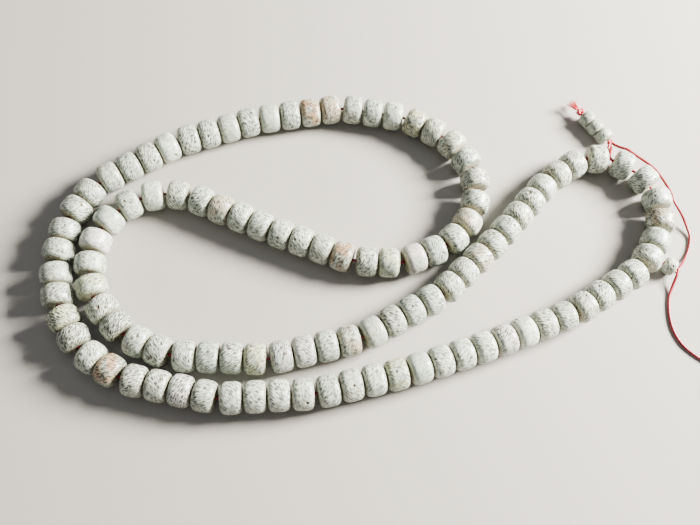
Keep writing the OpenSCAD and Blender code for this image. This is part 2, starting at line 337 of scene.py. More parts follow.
def spandex_cord(name, light, groove_shade):
    """Elastic cord of fused spandex filaments, extruded and dyed through: smooth and slightly
    glossy along its length, with painted shade in the fine grooves between the filaments."""
    made = bpy.data.materials.get(name)
    if made:
        return made
    made, tree, shader = new_material(
        name, {"IOR": 1.5, "Roughness": 0.4, "Coat Weight": 0.12, "Coat Roughness": 0.2})
    place = add_node(tree, "Attribute", attribute_name="cord_mm")
    # Filaments are about 0.03 mm wide, drawn at 0.12 mm so that they show, in 6 mm streaks
    filament_mm, streak_mm = 0.12, 6.0
    stretched = add_node(
        tree, "VectorMath", {1: (1 / streak_mm, 1 / filament_mm, 1.0)},
        {0: place.outputs["Vector"]}, operation="MULTIPLY")
    lines = add_node(
        tree, "TexNoise", {"Scale": 1.0, "Detail": 2.0}, {"Vector": stretched.outputs["Vector"]})
    share = add_node(
        tree, "MapRange", {"From Min": 0.35, "From Max": 0.62}, {"Value": lines.outputs["Fac"]})
    valley = add_node(
        tree, "SeparateXYZ", links={"Vector": place.outputs["Vector"]})
    # Painted shade: darker where the noise lines and the ridge valleys meet, in the grooves between
    # the filaments
    shade = add_node(
        tree, "Math", links={0: share.outputs["Result"], 1: valley.outputs["Z"]},
        operation="MULTIPLY", use_clamp=True)
    blend = add_node(
        tree, "Mix", {6: groove_shade, 7: light}, {0: shade.outputs["Value"]}, data_type="RGBA")
    tree.links.new(blend.outputs[2], shader.inputs["Base Color"])
    bump = add_node(
        tree, "Bump", {"Strength": 0.3, "Distance": 0.02 * MM},
        {"Height": lines.outputs["Fac"]})
    tree.links.new(bump.outputs["Normal"], shader.inputs["Normal"])
    return made


def crimson_cord():
    cord = bpy.context.scene.mala_cord
    # cord.deep is the painted shade between the filaments
    return spandex_cord("crimson_spandex_cord", cord.crimson, cord.deep)


def scarlet_ends():
    """The same filaments where the cord is stretched in a knot or cut, brighter for it."""
    cord = bpy.context.scene.mala_cord
    # Here crimson stands as the painted shade in the grooves between the filaments
    return spandex_cord("scarlet_spandex_ends", cord.scarlet, cord.crimson)


def waxed_linen():
    """Linen thread, spun and waxed: straw-coloured, dull, with slanted plies and painted shade
    between them.
    """
    cord = bpy.context.scene.mala_cord
    made, tree, shader = new_material(
        "waxed_linen_thread", {"Roughness": 0.72, "Sheen Weight": 0.3})
    place = add_node(tree, "Attribute", attribute_name="cord_mm")
    # Plies 0.16 mm wide that lean by half
    ply_mm = 0.16
    leaning = add_node(
        tree, "VectorMath", {1: (1 / ply_mm, 0.5 / ply_mm, 0.0)}, {0: place.outputs["Vector"]},
        operation="DOT_PRODUCT")
    wave = add_node(
        tree, "Math", {1: 2 * math.pi}, {0: leaning.outputs["Value"]}, operation="MULTIPLY")
    ply = add_node(tree, "Math", links={0: wave.outputs["Value"]}, operation="SINE")
    share = add_node(
        tree, "MapRange", {"From Min": -1.0, "From Max": 1.0, "To Min": 0.55, "To Max": 1.0},
        {"Value": ply.outputs["Value"]})
    # Painted shade: darker in the hollows between the plies
    ply_shaded_tone = add_node(
        tree, "Mix", {6: cord.linen_ply_shade, 7: cord.linen}, {0: share.outputs["Result"]},
        data_type="RGBA")
    tree.links.new(ply_shaded_tone.outputs[2], shader.inputs["Base Color"])
    bump = add_node(
        tree, "Bump", {"Strength": 0.6, "Distance": 0.03 * MM}, {"Height": ply.outputs["Value"]})
    tree.links.new(bump.outputs["Normal"], shader.inputs["Normal"])
    return made


# ---- Mesh helpers -------------------------------------------------------------------------


def new_mesh_piece(name, points, faces, material, body, attributes=None):
    """A smooth mesh piece on a body. attributes maps a name to one value for each corner."""
    mesh = bpy.data.meshes.new(name)
    mesh.from_pydata([tuple(p) for p in points], [], [tuple(f) for f in faces])
    mesh.materials.append(material)
    mesh.shade_smooth()
    for key, values in (attributes or {}).items():
        kind = "FLOAT_COLOR" if values.shape[1] == 4 else "FLOAT_VECTOR"
        field = "color" if kind == "FLOAT_COLOR" else "vector"
        layer = mesh.attributes.new(key, kind, "CORNER")
        layer.data.foreach_set(field, values.astype(np.float32).ravel())
    piece = bpy.data.objects.new(name, mesh)
    bpy.context.scene.collection.objects.link(piece)
    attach(piece, body)
    return piece


# Depth of the ridges between a cord's filaments, as a share of its radius
RIDGE = 0.09


def grid_faces(rows, columns, closed_rows=False):
    """Quads of a grid whose columns close, and whose rows may close too."""
    i, j = np.meshgrid(
        np.arange(rows if closed_rows else rows - 1), np.arange(columns), indexing="ij")
    i, j = i.ravel(), j.ravel()
    down, right = (i + 1) % rows, (j + 1) % columns
    return np.stack(
        [i * columns + j, i * columns + right, down * columns + right, down * columns + j], 1)


def smooth_path(points, step):
    """Points a step apart on a smooth curve through the given points."""
    points = np.asarray(points, float)
    before = 2 * points[0] - points[1]
    after = 2 * points[-1] - points[-2]
    framed = np.vstack([before, points, after])
    dense = []
    for k in range(len(points) - 1):
        a, b, c, d = framed[k : k + 4]
        # Centripetal spacing keeps short and long spans from overshooting
        t0 = max(np.linalg.norm(b - a), 1e-7) ** 0.5
        t1 = max(np.linalg.norm(c - b), 1e-7) ** 0.5
        t2 = max(np.linalg.norm(d - c), 1e-7) ** 0.5
        go = ((b - a) / t0 - (c - a) / (t0 + t1) + (c - b) / t1) * t1
        come = ((c - b) / t1 - (d - b) / (t1 + t2) + (d - c) / t2) * t1
        u = np.linspace(0, 1, 16, endpoint=False)[:, None]
        dense.append(
            (2 * u**3 - 3 * u**2 + 1) * b + (u**3 - 2 * u**2 + u) * go
            + (3 * u**2 - 2 * u**3) * c + (u**3 - u**2) * come)
    dense = np.vstack([*dense, points[-1:]])
    run = np.concatenate([[0], np.cumsum(np.linalg.norm(np.diff(dense, axis=0), axis=1))])
    places = np.linspace(0, run[-1], max(int(round(run[-1] / step)), 4) + 1)
    return np.stack([np.interp(places, run, dense[:, k]) for k in range(3)], 1)


def carried_frames(path):
    """Tangent and two side directions at each point, carried along without twist."""
    tangents = np.gradient(path, axis=0)
    tangents /= np.linalg.norm(tangents, axis=1)[:, None]
    side = np.cross(tangents[0], (0, 0, 1))
    if np.linalg.norm(side) < 0.1:
        side = np.cross(tangents[0], (0, 1, 0))
    sides = []
    for tangent in tangents:
        side = side - tangent * (side @ tangent)
        side = side / np.linalg.norm(side)
        sides.append(side)
    sides = np.array(sides)
    return tangents, sides, np.cross(tangents, sides)


def filament_tube(path, radius, columns, ridges, depth, lay, taper=None):
    """A tube with shallow lengthwise ridges that wind slowly round it, with round ends:
    its points, faces and the cord_mm attribute."""
    _, sides, ups = carried_frames(path)
    run = np.concatenate([[0], np.cumsum(np.linalg.norm(np.diff(path, axis=0), axis=1))])
    angle = np.linspace(0, 2 * math.pi, columns, endpoint=False)
    turn = 2 * math.pi * run / lay
    ridge = 0.5 + 0.5 * np.cos(ridges * (angle[None, :] - turn[:, None]))
    # The ends close over the last half diameter, as a clean cut rounds off
    from_end = np.minimum(run, run[-1] - run) / radius
    close = np.sqrt(np.clip(1 - (1 - np.clip(from_end, 0, 1)) ** 2, 0.02, 1))
    if taper is not None:
        close = close * taper
    size = radius * close[:, None] * (1 - depth * (1 - ridge))
    points = (
        path[:, None, :]
        + size[..., None] * (np.cos(angle)[None, :, None] * sides[:, None, :]
                             + np.sin(angle)[None, :, None] * ups[:, None, :]))
    rows = len(path)
    faces = [tuple(f) for f in grid_faces(rows, columns)]
    corner_row = np.array(
        [[i, i, i + 1, i + 1] for i in range(rows - 1) for _ in range(columns)]).ravel()
    corner_column = np.array(
        [[j, j + 1, j + 1, j] for _ in range(rows - 1) for j in range(columns)]).ravel()
    around = (corner_column / columns * 2 * math.pi - turn[corner_row]) * radius
    # The third value is a painted shade factor, lower in the valleys between the ridges
    shade = 0.35 + 0.65 * ridge[corner_row, corner_column % columns]
    values = np.stack([run[corner_row] / MM, around / MM, shade], 1)
    faces.append(tuple(range(columns))[::-1])
    faces.append(tuple((rows - 1) * columns + j for j in range(columns)))
    caps = np.tile([0.0, 0.0, 0.6], (2 * columns, 1))
    return points.reshape(-1, 3), faces, np.vstack([values, caps])


def cord_piece(name, path, body, material, radius=None, columns=27):
    """A length of the elastic cord along a path."""
    cord = bpy.context.scene.mala_cord
    points, faces, values = filament_tube(
        path, radius or cord.diameter / 2, columns, cord.filaments, RIDGE, cord.lay)
    return new_mesh_piece(name, points, faces, material, body, {"cord_mm": values})


def joined(parts):
    """Several (points, faces, values) as one."""
    points, faces, values, start = [], [], [], 0
    for p, f, v in parts:
        points.append(p)
        faces.extend(tuple(start + k for k in face) for face in f)
        values.append(v)
        start += len(p)
    return np.vstack(points), faces, np.vstack(values)


def basis(direction):
    """Two unit directions square to a direction, the second one upward."""
    across = np.cross((0, 0, 1), direction)
    across = across / np.linalg.norm(across)
    return across, np.cross(direction, across)


def knot_path(centre, direction, reach):
    """A pulled overhand knot: a small trefoil about a direction, within reach of its centre."""
    squeeze = 0.62
    across, up = basis(direction)
    t = np.linspace(0, 2 * math.pi, 97)[:-1]
    x = (np.sin(t) + 2 * np.sin(2 * t)) / 3
    y = (np.cos(t) - 2 * np.cos(2 * t)) / 3
    z = -np.sin(3 * t) * squeeze
    loop = centre + reach * (np.outer(x, across) + np.outer(y, up) + np.outer(z, direction))
    return np.vstack([loop, loop[:1]])


def put_knot(name, centre, direction, outer, strand_r, body, material):
    """An overhand knot of outer radius, on a soft core that fills its middle."""
    cord = bpy.context.scene.mala_cord
    core_path = centre + np.outer(np.linspace(-0.72, 0.72, 13) * outer, direction)
    core_taper = np.sqrt(np.clip(1 - np.linspace(-0.97, 0.97, 13) ** 2, 0.05, 1))
    parts = [
        filament_tube(knot_path(centre, direction, outer - strand_r), strand_r, 27,
                      cord.filaments, 0.10, cord.lay),
        filament_tube(core_path, 0.78 * outer, 36, 12, 0.07, cord.lay, core_taper),
    ]
    points, faces, values = joined(parts)
    return new_mesh_piece(name, points, faces, material, body, {"cord_mm": values})


# ---- Beads --------------------------------------------------------------------------------


PROFILE_POINTS = 34
PROFILE_COLUMNS = 64


def barrel_profile(length, width, bore, chamfer, moon_x):
    """Half outline of a drilled barrel, from one mouth of its hole over the outside to the
    other: a rounded outline, closer together where the natural pit lies."""
    start = bore / 2 + chamfer
    # The outline bulges from a third of the radius, with rims of about 2 mm
    centre_r = 0.34 * width / 2
    power = 3.3
    near, far, crowding = 0.8 * MM, 1.1 * MM, 3
    t = np.linspace(0, math.pi, 400)
    x = -np.sign(np.cos(t)) * np.abs(np.cos(t)) ** (2 / power) * length / 2
    r = centre_r + np.sin(t) ** (2 / power) * (width / 2 - centre_r)
    x = np.concatenate([[x[0]], x, [x[-1]]])
    r = np.concatenate([[start], r, [start]])
    run = np.concatenate([[0], np.cumsum(np.hypot(np.diff(x), np.diff(r)))])
    pit = np.interp(moon_x, x[1:-1], run[1:-1])
    weight = np.interp(
        (run[1:] + run[:-1]) / 2 - pit, [-far, -near, near, far], [1, crowding, crowding, 1]
    ) * np.diff(run)
    share = np.concatenate([[0], np.cumsum(weight)])
    at = np.interp(np.linspace(0, share[-1], PROFILE_POINTS), share, run)
    return np.interp(at, run, x), np.interp(at, run, r), at - run[-1] / 2


def seed_bead(name, body, at, axis, sizes, rng, tint, flecks, stain, roll):
    """One turned seed: a drilled barrel with hand-polished flats, one natural pit and the
    attributes that its material reads."""
    seed = bpy.context.scene.mala_seed
    length, width, bore = sizes
    shrink = 1 - rng.random() * seed.bead_shrink
    long_shrink = 1 - rng.random() * seed.bead_shrink
    moon_x = rng.uniform(-0.22, 0.22) * length
    moon_turn = rng.uniform(0, 2 * math.pi)
    moon_r = seed.moon_d / 2 * rng.uniform(0.75, 1.1) * min(1, width / BEAD_D + 0.15)
    slant = rng.uniform(0.35, 1.0) * rng.choice((-1, 1))
    shift = np.array([rng.uniform(0, 500), rng.uniform(0, 500), 0])
    lump_place = Vector((rng.uniform(0, 90), rng.uniform(0, 90), rng.uniform(0, 90)))

    x, r, along = barrel_profile(length * long_shrink, width * shrink, bore, seed.chamfer, moon_x)
    # The hole: a chamfer, then the drilled wall
    hole_x = np.array([x[-1] - seed.chamfer, 0.0, x[0] + seed.chamfer])
    hole_r = np.full(3, bore / 2)
    x, r = np.concatenate([x, hole_x]), np.concatenate([r, hole_r])
    along = np.concatenate([along, [along[-1], 0.0, along[0]]])
    outside = len(x) - 3

    # Columns crowd around the pit
    dense = np.linspace(0, 2 * math.pi, 721)
    gap = np.abs((dense - moon_turn + math.pi) % (2 * math.pi) - math.pi) * width / 2
    crowding, crowd_width = 3.2, 0.85 * MM
    density = 1 + crowding * np.exp(-((gap / crowd_width) ** 2))
    share = np.concatenate([[0], np.cumsum((density[1:] + density[:-1]) / 2)])
    columns = PROFILE_COLUMNS
    turn = np.interp(np.linspace(0, share[-1], columns, endpoint=False), share, dense)

    rows = len(x)
    points = np.empty((rows, columns, 3))
    points[..., 0] = x[:, None]
    points[..., 1] = r[:, None] * np.cos(turn)[None, :]
    points[..., 2] = r[:, None] * np.sin(turn)[None, :]
    pit = np.zeros((rows, columns))
    flat_scale = 1 / (3.4 * MM)
    for i in range(outside):
        edge = min(1.0, (r[i] - bore / 2) / (0.3 * width))
        for j in range(columns):
            p = Vector(points[i, j])
            wave = noise.noise(p * flat_scale + lump_place) + 0.35 * noise.noise(
                p * flat_scale * 2.3 + lump_place)
            far = math.hypot(
                x[i] - moon_x,
                ((turn[j] - moon_turn + math.pi) % (2 * math.pi) - math.pi) * r[i])
            hollow = max(0.0, 1 - (far / moon_r) ** 2) if r[i] > 0.35 * width else 0.0
            pit[i, j] = hollow
            drop = seed.lump * (0.5 + 0.5 * wave) * edge + seed.moon_depth * hollow
            points[i, j, 1:] *= 1 - drop / r[i]

    faces = grid_faces(rows, columns, closed_rows=True)
    row, column = faces // columns, faces % columns
    # The last column's right-hand corners lie past a full turn, so that the grain runs on
    wrapped = np.where((column == 0) & (column[:, :1] == columns - 1), 2 * math.pi, 0.0)
    around = (turn[column] + wrapped) * width / 2 / MM
    up = along[row] / MM
    cos_s, sin_s = math.cos(slant), math.sin(slant)
    grain = np.stack(
        [around * cos_s + up * sin_s + shift[0], -around * sin_s + up * cos_s + shift[1],
         np.zeros_like(up)], -1).reshape(-1, 3)
    inside = np.minimum(row, rows - 1) >= outside
    # The cut ends' own tone, with painted shade where the beads meet, begins before the rim; inside
    # the hole it is whole, as painted shade
    end_from, end_over, end_share = 0.40 * length, 0.10 * length, 0.75
    end = np.clip((np.abs(x[row]) - end_from) / end_over, 0, 1) * end_share
    end = np.maximum(end, inside * 1.0)
    flat_points = points.reshape(-1, 3)
    # Stain gathers on the side that lies up, and breaks up at its edge
    spot_size = 2.8 * MM
    spot = np.array([
        noise.noise(Vector(p) / spot_size + lump_place * 2) if stain else 0.0
        for p in flat_points])
    lift = (flat_points[:, 2] * math.cos(roll) + flat_points[:, 1] * math.sin(roll)) / width * 2
    patch = np.clip(0.25 + 0.6 * lift + 1.5 * spot, 0, 1) * stain
    order = faces.ravel()
    tints = np.concatenate([np.tile(tint[:3], (len(order), 1)), patch[order][:, None]], 1)
    # marks: fleck strength, the ends' tone with painted shade, and the pit
    marks = np.stack(
        [np.full(len(order), flecks), end.ravel(), np.clip(pit.ravel()[order] * 1.3, 0, 1)], 1)

    across, upward = basis(axis)
    place = Matrix.Identity(4)
    for k in range(3):
        place[k][0], place[k][1], place[k][2], place[k][3] = axis[k], across[k], upward[k], at[k]
    piece = new_mesh_piece(
        name, flat_points, faces, waxed_rattan_seed(), body,
        {"grain_mm": grain, "tint": tints, "marks": marks})
    piece.matrix_world = place
    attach(piece, body)
    return piece


# Counting beads that stand out, by their number on the strand
TAN_BEADS = {4: 0.55, 31: 0.85, 51: 0.9, 52: 0.6, 58: 0.35, 62: 0.5, 68: 0.95, 74: 0.5,
             94: 0.5, 101: 0.45}
GREEN_BEADS = (66, 90, 56, 19, 34, 82)
PINK_BEADS = (65, 91, 92, 14, 28, 80)
FLECKED_BEADS = {2: 1.25, 4: 1.3, 6: 1.15, 7: 1.2, 10: 1.15, 31: 1.3, 33: 1.5, 34: 1.3, 63: 1.1,
                 67: 1.25, 84: 1.45, 107: 1.15}
CALM_BEADS = (13, 18, 44, 47, 49, 65, 77, 79, 80, 95)


def seed_tint(number, rng):
    """Colour, fleck strength and stain of one bead."""
    seed = bpy.context.scene.mala_seed
    pale, grey = np.array(seed.pale), np.array(seed.grey)
    share = rng.random() * 0.7
    tint = pale * (1 - share) + grey * share
    tint = tint * rng.uniform(0.8, 1.08)
    if number in GREEN_BEADS:
        tint = 0.3 * tint + 0.7 * np.array(seed.green)
    if number in PINK_BEADS:
        tint = 0.3 * tint + 0.7 * np.array(seed.pink)
    flecks = FLECKED_BEADS.get(number, rng.uniform(0.9, 1.15))
    if number in CALM_BEADS:
        flecks = 0.66
    stain = TAN_BEADS.get(number, rng.choice((0.0, 0.0, 0.08, 0.16)))
    return np.clip(tint, 0, 1), flecks, stain


# ---- The tail's route ---------------------------------------------------------------------

# Free tail of the cord, in mm: x and y from the head knot, z above the surface. It rises from
# the knot, leans on the first beads, comes down and meets the counter bead on its way.
FLOOR_Z = 0.5
CENTRE_Z = 3.0
COIL_Z = 0.75
TAIL_LEAD = ((0.5, 0, CENTRE_Z), (1.2, -1.3, 3.7), (2.4, -3.1, 5), (4.3, -4.6, 6.1))
TAIL_POINTS = (
    (20.3, -28, 3.4), (22, -31.2, 1.7), (23, -34.8, 0.7), (22.1, -38.6, FLOOR_Z),
    (20.4, -42, 0.7), (18.2, -44.9, 1.7), (16.4, -46.9, 2.7), (15.4, -48.4, CENTRE_Z),
    (14.6, -50.2, 2.7), (13.6, -52.6, 1.5), (12.5, -55.2, 0.7), (11.6, -58.4, FLOOR_Z),
    (11.1, -62, FLOOR_Z), (11.1, -65.8, FLOOR_Z), (11.9, -69.4, FLOOR_Z),
    (13.7, -72.8, FLOOR_Z), (16.5, -75.6, FLOOR_Z), (20, -78.2, FLOOR_Z),
    (23.8, -81, FLOOR_Z), (27.4, -83.8, COIL_Z),
)
KINK = 7
KINK_PLAY = 0.06 * MM
# The tail lies a little above the beads' centre line where it leans on them
LEAN_BEADS = 3
LEAN_ANGLE = 15.0
LEAN_DROP = 0.75
LEAN_PLAY = 0.25 * MM
BEAD_RIM = 2 * MM


def kink_at():
    """Where the tail bends round the mouth of the counter bead."""
    middle, axis = joint_line("counter_bead")
    return middle + axis * (SMALL_L / 2 + KINK_PLAY + bpy.context.scene.mala_cord.diameter)


def lean_points():
    """Where the tail touches the outside of the first beads, at their rims."""
    out = BEAD_D / 2 + bpy.context.scene.mala_cord.diameter / 2 + LEAN_PLAY
    beads = strand_beads()
    last = 2 * LEAN_BEADS - 1
    points = []
    for k in range(1, last + 1):
        _, at, axis = beads[1 + k // 2]
        angle = math.radians(LEAN_ANGLE * (1 - LEAN_DROP * k / last))
        rim = at + (1 if k % 2 else -1) * (BEAD_L / 2 - BEAD_RIM) * axis
        side = np.array([-axis[1] * math.cos(angle), axis[0] * math.cos(angle), math.sin(angle)])
        points.append(rim + out * side)
    return points


def tail_route():
    """The tail's points before its coil: the plan grows with the strand, the heights don't."""
    grown = np.linalg.norm((kink_at() - HEAD_KNOT)[:2]) / np.linalg.norm(
        np.array(TAIL_POINTS[KINK][:2]) * MM)

    def placed(points, grown):
        points = np.array(points) * MM
        return np.hstack([HEAD_KNOT[:2] + points[:, :2] * grown, points[:, 2:]])

    return np.vstack([placed(TAIL_LEAD, 1.0), lean_points(), placed(TAIL_POINTS, grown)])


def coil_turns(route):
    """The rest of the tail: two turns inward on the surface, two back over them, and a last part
    turn around the outside, down to the knot at the free end. Radii and rises are in diameters
    of the cord, at the degrees in turned."""
    d = bpy.context.scene.mala_cord.diameter
    low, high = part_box("tail_coil")
    centre = (np.array(low) + np.array(high))[:2] / 2
    middle_r = float(np.linalg.norm(route[-1][:2] - centre))
    start = math.atan2(*(route[-1][:2] - centre)[::-1])
    ground = route[-1][2]
    knot_low, knot_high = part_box("tail_knot")
    knot = (np.array(knot_low) + np.array(knot_high)) / 2
    knot_r = float(np.linalg.norm(knot[:2] - centre))
    knot_turn = math.atan2(*(knot[:2] - centre)[::-1])
    turned = [0, 300, 360, 640, 700, 1000, 1060, 1330, 1385, 1420, 1450]
    radii = [0, 0, -1, -1, -1, -1, 0, 0, 0.6, 1.05, 1.05]
    rises = [0, 0, 0, 0, 1, 1, 1, 1, 0.7, 0.15, 0]
    last = 360 * 4 + math.degrees(start - knot_turn) % 360
    places = np.arange(12, last + 1, 12)
    radius = middle_r + d * np.interp(places, turned, radii)
    radius = radius + (knot_r - middle_r - 1.05 * d) * np.clip((places - last + 30) / 30, 0, 1) ** 2
    height = ground + d * np.interp(places, turned, rises)
    height = height + (knot[2] - ground) * np.clip((places - last + 24) / 24, 0, 1)
    angle = start - np.radians(places)
    return np.stack(
        [centre[0] + radius * np.cos(angle), centre[1] + radius * np.sin(angle), height], 1)


# ---- Operators ----------------------------------------------------------------------------


class MALA_OT_set_stage(bpy.types.Operator):
    """Set the camera, the plain floor and the soft lights"""

    bl_idname = "mala.set_stage"
    bl_label = "Stage"

    # The camera looks down at 67 degrees above the horizon, from the near side
    PLACE = (-0.01959, -0.1007, 0.2250)
    TILT = 23.0
    ROLL = 8.0
    LENS = 38.06
    KEY_AT, KEY_SIZE = (0.56, 0.16, 0.33), 0.22
    FILL_AT, FILL_SIZE = (-0.10, 0.10, 0.75), 0.7

    def execute(self, context):
        stage = context.scene.mala_stage
        camera_data = bpy.data.cameras.new("camera")
        camera_data.lens = self.LENS
        camera_data.sensor_width = 36.0
        camera_data.clip_start = 0.01
        camera = bpy.data.objects.new("camera", camera_data)
        context.scene.collection.objects.link(camera)
        roll = Matrix.Rotation(math.radians(self.ROLL), 4, "Z")
        camera.matrix_world = (
            Matrix.Translation(self.PLACE) @ roll.inverted()
            @ Matrix.Rotation(math.radians(self.TILT), 4, "X") @ roll)
        context.scene.camera = camera

        bpy.ops.mesh.primitive_plane_add(size=4.0, location=(0, 0, 0))
        floor = context.active_object
        floor.name = "floor"
        material, _, shader = new_material("matt_card", {"Roughness": 0.9, "IOR": 1.45})
        shader.inputs["Base Color"].default_value = stage.floor
        floor.data.materials.append(material)

        self.add_light(
            context, "key", self.KEY_AT, self.KEY_SIZE, stage.key_power, "#FCFAF2")
        self.add_light(
            context, "fill", self.FILL_AT, self.FILL_SIZE, stage.fill_power, "#F2F6FF")
        world = bpy.data.worlds.new("even_light")
        context.scene.world = world
        world.use_nodes = True
        background = world.node_tree.nodes["Background"]
        background.inputs["Color"].default_value = hex_linear("#EEF1F5")
        background.inputs["Strength"].default_value = stage.sky
        return {"FINISHED"}

    def add_light(self, context, name, at, size, power, tint):
        """A square soft light that points at the middle of the strand."""
        light = bpy.data.lights.new(name, "AREA")
        light.size = size
        light.energy = power
        light.color = hex_linear(tint)[:3]
        lamp = bpy.data.objects.new(name, light)
        context.scene.collection.objects.link(lamp)
        aim = (Vector((0, 0, 0)) - Vector(at)).to_track_quat("-Z", "Y")
        lamp.matrix_world = Matrix.Translation(at) @ aim.to_matrix().to_4x4()


class MALA_OT_add_tail(bpy.types.Operator):
    """Lay the free tail of the cord, with its stored coil, tie and end knot"""

    bl_idname = "mala.add_tail"
    bl_label = "Tail"

    STEP = 0.3 * MM
    THREAD_R = 0.11 * MM
    WRAPS = 6

    def execute(self, context):
        cord = context.scene.mala_cord
        route = tail_route()
        turns = coil_turns(route)
        path = smooth_path(np.vstack([route, turns]), self.STEP)
        tail = cord_piece("free_tail", path, STRAND, crimson_cord())
        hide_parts("tail_cord", "tail_coil")

        low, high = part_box("tail_knot")
        knot_at = (np.array(low) + np.array(high)) / 2
        outward = path[-1] - path[-8]
        end_knot = put_knot(
            "tail_end_knot", knot_at, outward / np.linalg.norm(outward), (high.z - low.z) / 2,
            0.42 * cord.diameter, STRAND, crimson_cord())
        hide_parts("tail_knot")

        tie = self.add_tie(route)
        bight = self.add_bight(cord)
        return {"FINISHED"}

    def add_tie(self, route):
        """Waxed thread wound round the coil's bundle of turns, and its small knot."""
        d = bpy.context.scene.mala_cord.diameter
        low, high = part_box("tail_coil")
        centre = (np.array(low) + np.array(high))[:2] / 2
        middle_r = float(np.linalg.norm(route[-1][:2] - centre))
        tie_low, tie_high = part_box("coil_tie")
        tie_at = ((np.array(tie_low) + np.array(tie_high)) / 2)[:2] - centre
        outward = np.append(tie_at / np.linalg.norm(tie_at), 0)
        along = np.array([-outward[1], outward[0], 0])
        ground = route[-1][2]
        bundle = [(-1, 0), (0, 0), (1, 0), (-1, 1), (0, 1)]
        cords = np.array([(middle_r + a * d, ground + b * d) for a, b in bundle])
        reach = d / 2 + self.THREAD_R
        turn = np.linspace(0, 2 * math.pi * self.WRAPS, 48 * self.WRAPS)
        ways = np.stack([np.cos(turn), np.sin(turn)], 1)
        wrap = cords[np.argmax(ways @ cords.T, axis=1)] + reach * ways
        slide = np.linspace(-0.5, 0.5, len(turn)) * self.WRAPS * 2.1 * self.THREAD_R
        path = (
            np.append(centre, 0) + np.outer(wrap[:, 0], outward) + np.outer(slide, along)
            + np.outer(wrap[:, 1], (0, 0, 1)))
        path = smooth_path(path, 0.2 * MM)
        top = np.append(centre, 0) + outward * middle_r + np.array([0, 0, ground + 1.75 * d])
        ends = [
            smooth_path([
                top,
                top + outward * s * 0.7 * MM + along * 0.5 * MM + np.array([0, 0, 0.25 * MM]),
                top + outward * s * 1.6 * MM + along * 1.3 * MM], 0.1 * MM)
            for s in (-1, 1)]
        parts = [filament_tube(p, self.THREAD_R, 9, 3, 0.12, 1.2 * MM) for p in [path, *ends]]
        parts.append(filament_tube(
            knot_path(top, along, 0.26 * MM), 0.14 * MM, 9, 3, 0.12, 1.2 * MM))
        points, faces, values = joined(parts)
        tie = new_mesh_piece(
            "linen_tie", points, faces, waxed_linen(), STRAND, {"cord_mm": values})
        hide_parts("coil_tie")
        return tie

    def add_bight(self, cord):
        """The bight of the tail that is drawn into the counter bead's hole."""
        middle, axis = joint_line("counter_bead")
        across, _ = basis(axis)
        r = cord.diameter / 2
        deep = -axis * (SMALL_L / 2 - 0.7 * MM)
        mouth = axis * (SMALL_L / 2 + 0.1 * MM)
        points = [middle + mouth + axis * r * 1.6 - across * r * 1.7]
        points += [middle + mouth * k - across * r for k in (0.9, 0.4, -0.2)]
        points += [
            middle + deep - across * r * math.cos(a) - axis * r * math.sin(a)
            for a in (0.0, 0.8, math.pi / 2, math.pi - 0.8, math.pi)]
        points += [middle + mouth * k + across * r for k in (-0.2, 0.4, 0.9)]
        points += [middle + mouth + axis * r * 1.6 + across * r * 1.7]
        path = smooth_path(points, self.STEP)
        bight = cord_piece("counter_bight", path, STRAND, crimson_cord(), 0.98 * r)
        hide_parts("counter_cord")
        return bight


class MALA_OT_add_strand_cord(bpy.types.Operator):
    """Thread the elastic cord through every bead, and bring both ends to the head knot"""

    bl_idname = "mala.add_strand_cord"
    bl_label = "Strand cord"

    STEP = 0.6 * MM

    def execute(self, context):
        cord = context.scene.mala_cord
        beads = [(at, axis) for _, at, axis in strand_beads()]
        order = beads[1:] + beads[:1]
        inside = 0.36
        route = []
        for at, axis in order:
            route += [at - axis * BEAD_L * inside, at + axis * BEAD_L * inside]
        first_at, first_axis = order[0]
        last_at, last_axis = order[-1]
        start = first_at - first_axis * BEAD_L / 2
        end = last_at + last_axis * BEAD_L / 2
        corner = (start + end) / 2
        leave = self.strand_to_knot(corner, 1, cord)
        arrive = self.strand_to_knot(corner, -1, cord)
        path = smooth_path([*leave[::-1], start, *route, end, *arrive], self.STEP)
        loop = cord_piece("strand_cord", path, STRAND, crimson_cord(), columns=18)
        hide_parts("loop_cord")
        knot = put_knot(
            "strand_knot", HEAD_KNOT, GURU_DIR, 1.02 * self.knot_radius(), 0.45 * cord.diameter,
            STRAND, scarlet_ends())
        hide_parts("head_knot")
        return {"FINISHED"}

    def knot_radius(self):
        """The knot's reach below the small beads' centre line."""
        return HEAD_KNOT[2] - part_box("head_knot")[0].z

    def strand_to_knot(self, corner, side, cord):
        """One of the two strands from between the beads to the knot, laid round the other."""
        way = HEAD_KNOT - corner
        out = way / np.linalg.norm(way)
        across, up = basis(out)
        points = []
        for share in (0.08, 0.3, 0.5, 0.62, 0.74, 0.86, 0.97):
            turn = side * math.pi / 2 + max(0.0, share - 0.45) * 2 * math.pi
            points.append(
                corner + way * share
                + 0.5 * cord.diameter * (math.cos(turn) * across + math.sin(turn) * up))
        return points


